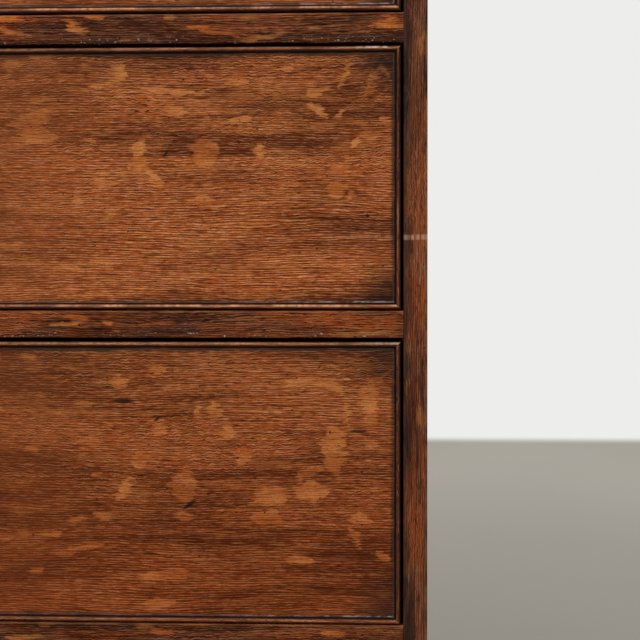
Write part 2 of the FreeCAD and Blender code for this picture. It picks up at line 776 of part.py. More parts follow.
def make_carcase():
    """Every node of the fixed case, by name."""
    rails = {number: make_rail(levels) for number, levels in RAILS.items()}
    runners = {number: pair(make_runner(number)) for number in DRAWERS}
    back_rail = make_back_rail()
    bottom_board = make_bottom_board()
    nails = make_back_nails()
    screws = make_top_screws()
    kickers = pair(make_kicker())
    housed = list(rails.values()) + [runners[number][1] for number in DRAWERS] + [back_rail, bottom_board]
    side = make_side(housed)
    base_front, base_side = make_base_mouldings()
    front_foot, rear_foot = make_feet()
    nodes = {
        "top_board": [cut_all(make_top(), screws)],
        "left_side": [mirrored(side)],
        "right_side": [side],
        "top_rail": [rails[0]],
        "top_back_rail": [cut_all(back_rail, nails)],
        "bottom_rail": [cut_all(rails[DRAWER_COUNT], runners[DRAWER_COUNT] + [bottom_board])],
        "bottom_board": [cut_all(bottom_board, nails)],
        "back_boards": [cut_all(board, nails) for board in make_back_boards()],
        "drawer_runners": sum(runners.values(), []),
        "top_kickers": [cut_all(kicker, screws) for kicker in kickers],
        "drawer_stops": sum([make_drawer_stops(number) for number in DRAWERS], []),
        "glue_blocks": make_glue_blocks(),
        "base_moulding_front": [base_front],
        "base_moulding_left": [mirrored(base_side)],
        "base_moulding_right": [base_side],
        "front_left_foot": [mirrored(facing) for facing in front_foot],
        "front_right_foot": front_foot,
        "rear_left_foot": [mirrored(facing) for facing in rear_foot],
        "rear_right_foot": rear_foot,
        "back_nails": nails,
        "top_screws": screws,
    }
    for number in range(1, DRAWER_COUNT):
        nodes[f"drawer_rail_{number}"] = [cut_all(rails[number], runners[number])]
    return nodes


def solids_of(shapes):
    return [solid for shape in shapes for solid in shape.Solids]


def main():
    os.makedirs("parts", exist_ok=True)
    nodes = make_carcase()
    for number in DRAWERS:
        nodes.update(make_drawer(number))
    for name, shapes in nodes.items():
        solids = solids_of(shapes)
        whole = solids[0] if len(solids) == 1 else Part.makeCompound(solids)
        whole.exportStep(os.path.join("parts", f"{name}.step"))
        valid = all(solid.isValid() for solid in solids)
        print(name, len(solids), "valid" if valid else "NOT VALID", round(whole.Volume))


main()
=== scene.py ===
import math
from typing import NamedTuple

import bpy
from mathutils import Matrix, Vector


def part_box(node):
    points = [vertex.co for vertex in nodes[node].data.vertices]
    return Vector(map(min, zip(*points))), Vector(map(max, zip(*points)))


# Oak chest of four long drawers: finishes, studio and camera. Metres unless a name says otherwise.
# A ramp is written as where it starts and ends, then its values there if those aren't 0 and 1.

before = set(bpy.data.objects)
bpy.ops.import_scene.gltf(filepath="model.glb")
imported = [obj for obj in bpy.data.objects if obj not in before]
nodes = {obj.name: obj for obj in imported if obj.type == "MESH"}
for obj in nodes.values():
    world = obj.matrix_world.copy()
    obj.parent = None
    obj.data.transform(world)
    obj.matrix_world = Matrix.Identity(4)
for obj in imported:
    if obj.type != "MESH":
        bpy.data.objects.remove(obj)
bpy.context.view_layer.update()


class Pattern(NamedTuple):
    """Noise with blotches of these sizes in millimetres, and a ramp over it from low to high."""

    along: float
    across: float
    detail: float = 0.0
    rough: float = 0.5
    start: float = 0.35
    end: float = 0.65
    low: float = 0.0
    high: float = 1.0

    @property
    def ramp(self):
        return self.start, self.end, self.low, self.high


class Lamp(NamedTuple):
    name: str
    at: tuple
    target: tuple
    size: tuple
    power: float
    reflected: bool


MM = 0.001
DRAWERS = (1, 2, 3, 4)

# What the frame's boxes don't tell
BACK_BOARDS = 6
BEAD_WIDTH = 4 * MM

# Places read from the frame
FRONT_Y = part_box("drawer_rail_1")[0].y
BEAD_PROUD = FRONT_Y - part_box("drawer_1_beads")[0].y
SIDE_INNER_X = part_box("right_side")[0].x
SIDE_OUTER_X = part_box("right_side")[1].x

# Camera: an 85 mm lens level with the rail above the third drawer, turned a little to the left
LENS_MM = 85.0
SENSOR_MM = 36.0
CAMERA_AT = Vector((0.529, -1.366, 0.623))
CAMERA_YAW = math.radians(2.5)
CAMERA_ROLL = math.radians(0.05)

# Studio: the floor fades into the wall's colour far out and has painted shade near the chest, and what is
# reflected of the room is dark in front
WALL_COLOUR = (237, 237, 235)
FLOOR_COLOUR = (184, 179, 169)
WHITE = (255, 255, 255)
FLOOR_HALF = 12.0
FLOOR_FADE = (6.28, 6.81)
FLOOR_SHADE_NEAR = (1.5, 5.0, 0.74, 1.0)
FLOOR_CLOUD = Pattern(900, 2500, detail=2.0, start=0.3, end=0.7, low=0.98, high=1.02)
WORLD_LIGHT = 0.8
ROOM_LIGHT = 0.1
ROOM_BACK = (-0.3, 0.4)
ROOM_TOP = (0.2, 0.8)
LAMPS = (
    Lamp("key_softbox", (-0.5, -1.9, 2.6), (0.1, -0.2, 0.6), (1.8, 1.2), power=30.0, reflected=True),
    Lamp("front_fill", (0.9, -3.6, 1.5), (0.1, -0.2, 0.55), (3.0, 2.0), power=16.0, reflected=False),
)

# Wood colours, as they look on screen
OAK = {
    "deep": (96, 43, 14),
    "warm": (170, 88, 39),
    "tan": (178, 102, 49),
    # Pale is greyish, as it also paints the sheen on the grain's ridges
    "pale": (212, 150, 104),
    "pore": (44, 10, 0),
    "fleck": (184, 102, 44),
    "light": (206, 136, 78),
    "stain": (66, 26, 3),
}
DARK_OAK = {
    "deep": (68, 30, 11),
    "warm": (142, 71, 31),
    "tan": (114, 62, 34),
    "pale": (160, 106, 72),
    "pore": (34, 5, 0),
    "fleck": (156, 84, 34),
    "light": (170, 100, 48),
    "stain": (34, 19, 12),
}
RAIL_OAK = {
    **DARK_OAK,
    "warm": (146, 73, 32),
    "pale": (167, 112, 76),
    "fleck": (168, 94, 42),
    "light": (188, 118, 62),
}
LINING = {
    "deep": (158, 117, 76),
    "warm": (186, 145, 98),
    "tan": (176, 142, 102),
    "pale": (206, 170, 124),
    "pore": (98, 64, 36),
    "stain": (116, 82, 52),
}
WEATHERED = {
    "deep": (104, 74, 49),
    "warm": (138, 102, 68),
    "tan": (128, 102, 76),
    "pale": (162, 128, 92),
    "pore": (54, 36, 22),
    "stain": (68, 48, 33),
}
SIDE_BROWN = (108, 58, 31)
TOP_BROWN = (132, 71, 35)
WORN_AND_HIGHLIGHT = (178, 112, 70)
BARE_WOOD_AND_GLINT = (205, 186, 166)
RUBBED_CREST_HIGHLIGHT = (212, 146, 104)
SCRATCH = (190, 146, 114)
DIRT_AND_SHADE = (25, 20, 17)
GREY_DIRT = (70, 62, 54)
RAIL_DIRT = (38, 22, 13)
DUST = (150, 144, 146)

# Metal colours
BRASS = (150, 108, 50)
BRIGHT_BRASS = (196, 152, 84)
TARNISH = (66, 48, 28)
IRON = (62, 57, 54)
RUST = (104, 62, 38)

# Tints, as shares of red, green and blue
COOL_TINT = (0.95, 1.01, 1.06)
WARM_TINT = (1.12, 0.95, 0.76)
GREEN_TINT = (1.0, 1.03, 1.03)
ROSE_TINT = (1.0, 0.96, 0.96)
BLUE_TINT = (1.0, 1.0, 1.09)
GOLD_TINT = (1.0, 1.0, 0.9)
RED_TINT = (1.03, 0.84, 0.72)
SIDE_TINT = (0.9, 0.95, 1.04)
NO_TINT = (1.0, 1.0, 1.0)

# Grain: the axis along it and the two across it, the spacing of its rows, and how far its lines are pushed
GRAIN_ORDER = {"across": (0, 2, 1), "up": (2, 0, 1), "deep": (1, 2, 0)}
ROW_WIDTH = 1.75 * MM
ROW_DRIFT = 1.7
WANDER_REACH = 7 * MM
RIPPLE_REACH = (0.5 * MM, 2.4 * MM)
RAGGED_REACH = 15 * MM
WANDER = Pattern(120, 45)
LIVELY = Pattern(50, 26, start=0.38, end=0.6)
RIPPLE = Pattern(3.5, 3.5, detail=1.0)
DRIFT = Pattern(24, 2.6, detail=1.0)
DASHES = Pattern(6.5, 0.8, detail=1.0, start=0.36, end=0.6)
TEETH = Pattern(10, 1.6, detail=1.0, start=0.36, end=0.6, low=0.45)
PORE_ROWS = (0.1, 0.7)
PORES_HELD = (0.15, 0.45)
PALE_ROWS = (-0.1, -0.8)
PALE_DASHES = (0.6, 0.4)

# Where the grain of each piece starts in the noise
DRAWER_OFFSET = {1: (0.37, 0.0, 0.0), 2: (0.98, 0.0, 2.83), 3: (2.7, 0.0, 0.63), 4: (1.48, 0.0, 0.0)}
RAIL_OFFSET = (0.6, 0.0, 0.0)
SIDE_OFFSET = (0.155, 0.0, 0.0)
BEAD_OFFSET = {number: (0.0, 0.5, 0.2 * number) for number in DRAWERS}
BOARD_OFFSET = (0.9, 0.3, 0.0)
LINING_OFFSET = (0.4, 0.1, 0.3)
BACK_OFFSET = (0.7, 0.0, 0.2)

# Colour of the wood
BANDS = Pattern(200, 6, detail=2.0)
TONE = Pattern(170, 34, detail=2.0)
TONE_SHARE = 0.65
LIGHT_TONES = (0.37, 0.61)
HUE = Pattern(60, 9, detail=1.0)
TAN_HUES = (0.48, 0.7, 0.0, 0.7)
STAINS = Pattern(80, 13, detail=3.0, rough=0.6, start=0.57, end=0.77)
CLUSTERS = Pattern(13, 2.1, detail=2.0, rough=0.6, start=0.54, end=0.68)
GRIT = Pattern(1.8, 0.6, start=0.5, end=0.72, high=0.25)
SPECKS = Pattern(3.5, 2.2, start=0.8, end=0.83, high=0.8)
ROSINESS = Pattern(14, 4, detail=1.0, start=0.36, end=0.64)
GOLDNESS = Pattern(12, 3.4, detail=1.0, start=0.36, end=0.64)
WARMTH = Pattern(60, 14, detail=2.0, start=0.42, end=0.58)
RANDOM_FLECKS = Pattern(24, 12, detail=1.0, start=0.60, end=0.68)
RAIL_FLECKS = RANDOM_FLECKS._replace(along=26, across=8)

# How strongly each mark shows: pale streaks on dark and light wood, and flecks on dull and bright wood
PALE_STRENGTH = (0.35, 0.75)
FLECK_STRENGTH = (0.65, 1.0)
FLECK_LIGHT = 0.7
PORE_STRENGTH = 0.8
STAIN_STRENGTH = 0.65
CLUSTER_STRENGTH = 0.55
# Pores, stains and clusters are weaker on flecks, which are smooth, and on bare inner faces
FLECK_PORES = 0.5
FLECK_STAINS = 0.15
FLECK_CLUSTERS = 0.1
INNER_PORES = 0.7
INNER_STAINS = 0.5

# Flecks and nicks of the two drawers that are seen closely, read from the photo against a ruled
# grid, in millimetres: right and down are from the drawer's top right corner, then half the length,
# half the height and the turn in degrees
SEEN_WIDTH = 210 * MM
FLECKS_MM = {
    2: (
        (214, 19, 7, 7, 0), (147, 21, 5, 2, 0), (123, 25, 9, 4, 5), (85, 17, 4, 3, 0),
        (42, 22, 11, 2, 63), (62, 34, 9, 3, 20), (22, 28, 10, 3, 68), (12, 21, 7, 2, -58),
        (175, 33, 20, 2, -8), (150, 34, 6, 2, 35), (170, 48, 9, 4, -12), (186, 42, 5, 2, -35),
        (121, 55, 8, 3, 0), (63, 47, 10, 3, -36), (46, 50, 6, 2, 36), (12, 55, 4, 3, 0),
        (23, 66, 9, 3, 5), (35, 72, 6, 2, 42), (198, 77, 5, 7, 0), (199, 88, 8, 5, 0),
        (186, 98, 10, 3, -55), (148, 79, 10, 11, 0), (106, 79, 4, 6, 0), (47, 93, 8, 3, 0),
        (48, 108, 7, 6, 0), (38, 113, 5, 2, 60), (150, 115, 9, 3, 0),
    ),
    3: (
        (213, 31, 7, 5, 0), (183, 22, 6, 3, 0), (68, 30, 20, 4, 0), (50, 35, 8, 3, -20),
        (24, 42, 6, 13, 0), (14, 27, 7, 2, 42), (22, 58, 6, 4, 0), (40, 53, 2, 13, 0),
        (153, 54, 4, 6, 0), (140, 52, 5, 7, 0), (130, 67, 5, 7, 0), (118, 86, 5, 7, 0),
        (182, 66, 5, 4, 0), (196, 90, 7, 6, 0), (208, 110, 10, 4, 62), (163, 109, 10, 11, 0),
        (163, 132, 6, 3, 0), (50, 81, 9, 19, 0), (68, 98, 11, 4, 28), (66, 112, 13, 6, 0),
        (98, 117, 14, 7, 10), (100, 132, 11, 5, 0), (22, 76, 5, 3, 0), (30, 133, 7, 4, 0),
        (34, 146, 9, 2, -63), (13, 161, 6, 3, -30), (75, 164, 10, 3, 0), (178, 176, 19, 3, 8),
        (181, 197, 13, 3, 10),
    ),
}
NICKS_MM = {
    2: (
        (177, 80, 3.6, 1.0, 55), (199, 48, 2.0, 0.8, 10), (191, 48, 2.0, 0.8, 25),
        (171, 39, 1.5, 0.6, 0), (25, 127, 1.5, 1.8, 60),
    ),
    3: (
        (183, 58, 3.6, 1.0, 41), (159, 123, 6.0, 1.6, 36), (53, 68, 0.7, 1.6, 0),
        (61, 19, 1.8, 0.6, 50), (31, 67, 7.0, 1.2, 0), (209, 45, 9.0, 2.0, 0),
    ),
}
FLECK_WOBBLE = Pattern(9, 7)
FLECK_WOBBLE_REACH = 6 * MM
FLECK_RAGGED = 0.9
FLECK_OUTLINE = (1.16, 0.9)
FLECK_FADE = 15 * MM
NICK_OUTLINE = (1.2, 0.6, 0.0, 0.85)

# Each drawer's shade at its top and at its bottom, and how red it is at its bottom
DRAWER_TONE = {1: (0.05, 0.1, 0.3), 2: (0.2, 0.04, 0.2), 3: (0.22, 0.42, 0.9), 4: (0.1, 0.15, 0.6)}
# The share of that shade that its flecks take
SHADE_ON_FLECKS = 0.6
# The shares of a drawer's height between which its grain becomes calm, going down
CALM_HEIGHTS = (0.55, 0.3)
# How far behind its face the finish of a drawer front ends
FRONT_INSIDE = (1 * MM, 2 * MM)
# How far the fronts are evened out where the photo doesn't show them, so that they don't look mottled
FRONT_EVENED = 0.3
EVENED_FADE = 80 * MM

# Dirt on the drawer fronts, painted shade below their tops and darkening in their corners, as ramps over
# the distance from what they lie against
CORNER_DARKENING = (52 * MM, 8 * MM, 0.0, 0.97)
TOP_SHADE = (30 * MM, 4 * MM, 0.0, 0.25)
BAND_DIRT = (4.5 * MM, 1.5 * MM)
BAND_DARKENS = (12 * MM, 20 * MM, 0.6, 0.95)
RIM_AT = 1.6 * MM
RIM_SPREAD = (0.7 * MM, 0.2 * MM)
RIM_STRENGTH = 0.6
JOINT_DIRT = (1.1 * MM, 0.5 * MM, 0.0, 0.95)
DUST_HEIGHTS = (9 * MM, 6 * MM)
DUST_FROM_RIGHT = (160 * MM, 30 * MM, 0.15, 0.75)
FRONT_PATCHES = Pattern(24, 10, detail=2.0, low=0.55)
DUST_BREAKS = Pattern(7, 3, detail=2.0, start=0.42, end=0.62)
# The share of the darkening in the corners that its patches don't break
CORNER_HELD = 0.8

# One pale scratch across the second drawer's right end and the side beside it: full in its core, which
# is a share of its half height
SCUFF_DRAWER = 2
SCUFF_DOWN = 143 * MM
SCUFF_REACH = (65 * MM, 45.5 * MM, 0.0, 0.6)
SCUFF_CORE = 0.4
SCUFF_STRENGTH = 0.7
FRONT_SCUFF_HALF = 1.0 * MM
SIDE_SCUFF_HALF = 2.6 * MM
SCUFF_BEND = Pattern(40, 40)
SCUFF_BEND_REACH = 2 * MM
SCUFF_BREAKS = Pattern(4, 4, detail=3.0, rough=0.7, start=0.35, end=0.6)

# Beads: how pale each drawer's top and bottom crests are rubbed and lit by a painted highlight, and how
# bright the painted glint at its top right corner is
BEAD_SHINE = {1: (0.19, 0.75), 2: (0.19, 1.0), 3: (0.4, 0.04), 4: (0.25, 0.6)}
BEAD_GLINT = {1: 0.3, 2: 1.0, 3: 0.3, 4: 0.3}
BEAD_RUBS_AND_HIGHLIGHTS = Pattern(22, 30, detail=2.0, start=0.35, end=0.62, low=0.2)
BEAD_CHIPS = Pattern(3.2, 30, detail=1.0, start=0.3, end=0.65, low=0.45)
BEAD_GLINTS = Pattern(5, 30, detail=2.0, start=0.36, end=0.55)
GLINT_FROM_RIGHT = (45 * MM, 4 * MM)
# Shares of a bead's width between which its painted dark flanks, its rubbed ridge with a painted highlight
# and its painted glint line fade
LOWER_FLANK = (0.5, 0.2)
UPPER_FLANK = (0.6, 0.9)
RIDGE_BELOW = (0.35, 0.6)
RIDGE_ABOVE = (0.95, 0.75)
GLINT_BELOW = (0.4, 0.6)
GLINT_ABOVE = (1.0, 0.8)
# Shares of how far a bead stands proud between which its crest begins
CREST_PROUD = (-0.3, -0.9)
# Painted shade on the beads: how dark they are off and on the crest, then on the flanks and all over, for
# upright and level ones
CREST_SHADE = (0.85, 0.3)
FLANK_SHADE = (0.95, 0.85)
WHOLE_SHADE = (0.3, 0.0)
# Distances behind the rails' face of the painted shade at the beads' foot and in the gaps, and of the wood
# inside the front
BEAD_FOOT_SHADE = (-0.2 * MM, 0.6 * MM, 0.0, 0.85)
BEAD_BEHIND = (4 * MM, 10 * MM)

# Rails: those that the photo doesn't show in full are a little darker
SEEN_RAILS = ("drawer_rail_1", "drawer_rail_2")
UNSEEN_RAIL_SHADE = 0.1
RAIL_PATCHES = Pattern(26, 9, detail=2.0, start=0.4, end=0.62)
RAIL_CHIPS = Pattern(2.6, 1.8, detail=1.0, start=0.64, end=0.7, high=0.6)
RAIL_END_DIRT = (14 * MM, 1 * MM, 0.0, 0.6)
RAIL_LOW_DIRT = (9 * MM, 0.5 * MM)
RAIL_LOW_CHIPS = (9 * MM, 1 * MM)
# The rails' pale top edge: wear, and a painted highlight
RAIL_TOP_WEAR_AND_HIGHLIGHT = (1.8 * MM, 0.4 * MM)
# Painted shade on the rails' faces behind their front, inside the gaps
RAIL_SHADE_BEHIND = (2 * MM, 12 * MM, 0.0, 0.6)
# How strong the dirt and wear of the rails are, those at an edge between the patches and on them; the pale
# top edge is also a painted highlight
RAIL_GREY = 0.1
RAIL_GRIME = 0.55
RAIL_LOW_STRENGTH = (0.5, 0.9)
RAIL_TOP_STRENGTH = (0.7, 0.2)

# Sides: the front edge darkens downwards, and the faces are evened out
SIDE_STREAKS = Pattern(190, 13, detail=3.0, rough=0.6, start=0.54, end=0.68, high=0.22)
DARK_STREAKS = (0.54, 0.4)
# How dark those are on the faces and on the front edge
STREAK_SHADE = (0.15, 0.78)
SIDE_FRONT_EDGE = (3 * MM, 0.5 * MM)
SIDE_DARKENS = (620 * MM, 420 * MM, 0.07, 0.3)
SIDE_EVENED = 0.5
# Dirt along the inner edge, over shares of its reach, and painted shade along the outer one
SIDE_DIRT_REACH = Pattern(40, 40, detail=2.0, low=3 * MM, high=10 * MM)
SIDE_INNER_DIRT = (1.0, 0.0, 0.0, 0.8)
SIDE_OUTER_SHADE = (1.0 * MM, 0.3 * MM, 0.0, 0.6)
# Where the polish ends on the inner face
SIDE_INNER_FACE = (1 * MM, 0.0)
SIDE_BEHIND = (4 * MM, 14 * MM)

# Top, base and feet, and the rubbed edges of all boards, by width and strength
BOARD_EVENED = 0.45
BOARD_PATCHES = Pattern(40, 14, detail=2.0)
BOARD_DIRT = (14 * MM, 4 * MM, 0.0, 0.5)
BOARD_WEAR = (3 * MM, 0.75)
SIDE_WEAR = (2.5 * MM, 0.6)
FLOOR_DIRT_HEIGHTS = (60 * MM, 2 * MM)
FLOOR_DIRT_STRENGTH = (0.4, 0.8)
EDGE_WEAR = Pattern(22, 9, detail=2.0, start=0.38, end=0.62)

# Back boards: how much they differ in shade, dirt beside each joint, and the dark joint itself
BACK_SHADES = 0.45
BACK_JOINT_DIRT = (9 * MM, 0.5 * MM, 0.0, 0.6)
BACK_JOINT = (1.2 * MM, 0.6 * MM, 0.0, 0.9)

# Metal
BRASS_CLOUD = Pattern(18, 18, detail=3.0, rough=0.6)
BRASS_GRAIN = Pattern(2.2, 2.2, detail=2.0)
BRASS_ROUGH = (0.3, 0.7, 0.24, 0.36)
TARNISHED = (0.52, 0.66)
TARNISH_GRAIN = 0.5
TARNISH_STRENGTH = 0.75
TARNISH_ROUGH = 0.25
IRON_CLOUD = Pattern(2.5, 2.5, detail=3.0, rough=0.6, start=0.45, end=0.62)
IRON_ROUGH = (0.4, 0.65, 0.45, 0.8)

# Sheen: how rough each wood is, what pores and dirt add to that, and its gloss
POLISHED_ROUGH = 0.42
BEAD_ROUGH = 0.36
LINING_ROUGH = 0.62
BACK_ROUGH = 0.7
DULL_ROUGH = 0.2
WOOD_GLOSS = 0.12
FRONT_GLOSS = 0.06
BEAD_GLOSS = 0.2

# Bumps: their depth and strength
PORE_BUMP = (0.15 * MM, 0.7)
BRASS_BUMP = (0.05 * MM, 0.5)
IRON_BUMP = (0.08 * MM, 0.6)


def linear(colour):
    """A colour written as 0 to 255 for the screen, as the light values that nodes use."""

    def channel(value):
        value /= 255
        return value / 12.92 if value <= 0.04045 else ((value + 0.055) / 1.055) ** 2.4

    return tuple(channel(value) for value in colour) + (1.0,)


class Graph:
    """A material's nodes. A value is a number, a tuple or the output of an earlier node."""

    def __init__(self, tree):
        self.tree = tree
        tree.nodes.clear()

    def node(self, kind, **settings):
        node = self.tree.nodes.new(kind)
        for name, value in settings.items():
            setattr(node, name, value)
        return node

    def feed(self, socket, value):
        if isinstance(value, bpy.types.NodeSocket):
            self.tree.links.new(value, socket)
        else:
            socket.default_value = value

    def math(self, operation, *values):
        node = self.node("ShaderNodeMath", operation=operation)
        for socket, value in zip(node.inputs, values):
            self.feed(socket, value)
        return node.outputs[0]

    def add(self, a, b):
        return self.math("ADD", a, b)

    def sub(self, a, b):
        return self.math("SUBTRACT", a, b)

    def size(self, value):
        """A number without its sign."""
        return self.math("ABSOLUTE", value)

    def mul(self, first, *rest):
        for value in rest:
            first = self.math("MULTIPLY", first, value)
        return first

    def least(self, first, *rest):
        for value in rest:
            first = self.math("MINIMUM", first, value)
        return first

    def most(self, first, *rest):
        for value in rest:
            first = self.math("MAXIMUM", first, value)
        return first

    def ramp(self, value, start, end, low=0.0, high=1.0):
        """Eases from low to high as the value goes from start to end."""
        node = self.node("ShaderNodeMapRange", interpolation_type="SMOOTHSTEP")
        for socket, given in zip(node.inputs, (value, start, end, low, high)):
            self.feed(socket, given)
        return node.outputs[0]

    def vector(self, x, y, z):
        node = self.node("ShaderNodeCombineXYZ")
        for socket, value in zip(node.inputs, (x, y, z)):
            self.feed(socket, value)
        return node.outputs[0]

    def split(self, vector):
        node = self.node("ShaderNodeSeparateXYZ")
        self.feed(node.inputs[0], vector)
        return tuple(node.outputs)

    def vector_math(self, operation, *values):
        node = self.node("ShaderNodeVectorMath", operation=operation)
        for socket, value in zip(node.inputs, values):
            self.feed(socket, value)
        return node.outputs["Value" if operation == "LENGTH" else "Vector"]

    def shift(self, place, along=0.0, across=0.0):
        return self.vector_math("ADD", place, self.vector(along, across, 0.0))

    def length(self, a, b):
        return self.vector_math("LENGTH", self.vector(a, b, 0.0))

    def mix(self, factor, a, b):
        """A colour between two others, which are screen colours or outputs."""
        node = self.node("ShaderNodeMix", data_type="RGBA")
        self.feed(node.inputs[0], factor)
        for socket, value in ((node.inputs[6], a), (node.inputs[7], b)):
            self.feed(socket, linear(value) if isinstance(value, tuple) else value)
        return node.outputs[2]

    def blend(self, factor, a, b):
        """A number between two others."""
        node = self.node("ShaderNodeMix", data_type="FLOAT")
        for socket, value in zip(node.inputs[0:1] + node.inputs[2:4], (factor, a, b)):
            self.feed(socket, value)
        return node.outputs[0]

    def tint(self, colour, factor, low, high):
        """A colour times a tint between two others, which are shares of red, green and blue."""
        node = self.node("ShaderNodeMix", data_type="VECTOR")
        for socket, value in zip(node.inputs[0:1] + node.inputs[4:6], (factor, low, high)):
            self.feed(socket, value)
        return self.vector_math("MULTIPLY", colour, node.outputs[1])

    def noise_node(self, place, pattern):
        sizes = (pattern.along * MM, pattern.across * MM, pattern.across * MM)
        node = self.node("ShaderNodeTexNoise")
        self.feed(node.inputs["Vector"], self.vector_math("DIVIDE", place, sizes))
        self.feed(node.inputs["Scale"], 1.0)
        self.feed(node.inputs["Detail"], pattern.detail)
        self.feed(node.inputs["Roughness"], pattern.rough)
        return node

    def noise(self, place, pattern):
        return self.noise_node(place, pattern).outputs[0]

    def patches(self, place, pattern):
        """Noise with its pattern's own ramp over it."""
        return self.ramp(self.noise(place, pattern), *pattern.ramp)

    def swing(self, noise, reach):
        """Noise about zero, up to about half the reach each way."""
        return self.mul(self.sub(noise, 0.5), reach)

    def wobble(self, place, pattern, reach):
        """A place pushed about by noise along its first two axes."""
        noise = self.noise_node(place, pattern).outputs["Color"]
        push = self.vector_math("SUBTRACT", noise, (0.5, 0.5, 0.5))
        return self.vector_math("ADD", place, self.vector_math("MULTIPLY", push, (reach, reach, 0.0)))

    def ellipse(self, place, right, down, half_length, half_height, turn):
        """How far a place is from an ellipse's centre: 1 on its outline. Sizes are in millimetres."""
        node = self.node("ShaderNodeMapping", vector_type="TEXTURE")
        self.feed(node.inputs["Vector"], place)
        node.inputs["Location"].default_value = (right * MM, down * MM, 0.0)
        node.inputs["Rotation"].default_value = (0.0, 0.0, math.radians(turn))
        node.inputs["Scale"].default_value = (half_length * MM, half_height * MM, 1.0)
        return self.vector_math("LENGTH", node.outputs[0])

    def nearest(self, place, marks):
        """How far a place is from the nearest of these ellipses."""
        return self.least(*[self.ellipse(place, *mark) for mark in marks])

    def bump(self, height, distance, strength):
        node = self.node("ShaderNodeBump")
        self.feed(node.inputs["Height"], height)
        self.feed(node.inputs["Distance"], distance)
        self.feed(node.inputs["Strength"], strength)
        return node.outputs["Normal"]

    def surface(self, colour, roughness, normal, constants):
        """The one shader of a finish. Constants are set on its own sockets."""
        shader = self.node("ShaderNodeBsdfPrincipled")
        self.feed(shader.inputs["Base Color"], colour)
        self.feed(shader.inputs["Roughness"], roughness)
        self.feed(shader.inputs["Normal"], normal)
        for name, value in constants.items():
            shader.inputs[name].default_value = value
        output = self.node("ShaderNodeOutputMaterial")
        self.feed(output.inputs["Surface"], shader.outputs[0])


def new_material(name):
    material = bpy.data.materials.new(name)
    material.use_nodes = True
    return material, Graph(material.node_tree)


